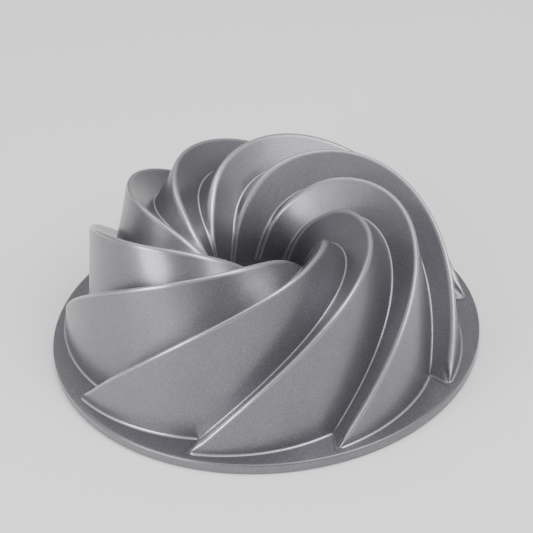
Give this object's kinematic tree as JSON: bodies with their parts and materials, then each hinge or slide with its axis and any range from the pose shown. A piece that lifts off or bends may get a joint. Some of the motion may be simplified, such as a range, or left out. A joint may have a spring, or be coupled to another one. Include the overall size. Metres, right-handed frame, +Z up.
{
  "type": "fluted ring-cake pan",
  "caption": "Cast metal ring-cake pan with spiral flutes that wind round an open centre tube, shown mouth down on a flat rim.",
  "frame": {"origin": "centre of the rim's underside, on the plane that the upturned pan stands on", "axes": "+Z up through the crown, along the centre tube; +X towards the tip of the first flute"},
  "size_m": [0.265, 0.265, 0.0978],
  "materials": {
    "flank_coat": "satin pewter metallic non-stick coat on cast aluminium",
    "step_coat": "satin pewter metallic non-stick coat on cast aluminium",
    "rim_coat": "satin pewter metallic non-stick coat on cast aluminium",
    "tube_coat": "satin pewter metallic non-stick coat on cast aluminium"
  },
  "bodies": {
    "root": {"rim_edge_bead": "rim_coat", "rim_flange": "rim_coat", "centre_tube": "tube_coat", "flute_flank_1": "flank_coat", "flute_flank_2": "flank_coat", "flute_flank_3": "flank_coat", "flute_flank_4": "flank_coat", "flute_flank_5": "flank_coat", "flute_flank_6": "flank_coat", "flute_flank_7": "flank_coat", "flute_flank_8": "flank_coat", "flute_flank_9": "flank_coat", "flute_step_1": "step_coat", "flute_step_2": "step_coat", "flute_step_3": "step_coat", "flute_step_4": "step_coat", "flute_step_5": "step_coat", "flute_step_6": "step_coat", "flute_step_7": "step_coat", "flute_step_8": "step_coat", "flute_step_9": "step_coat"}
  },
  "joints": []
}
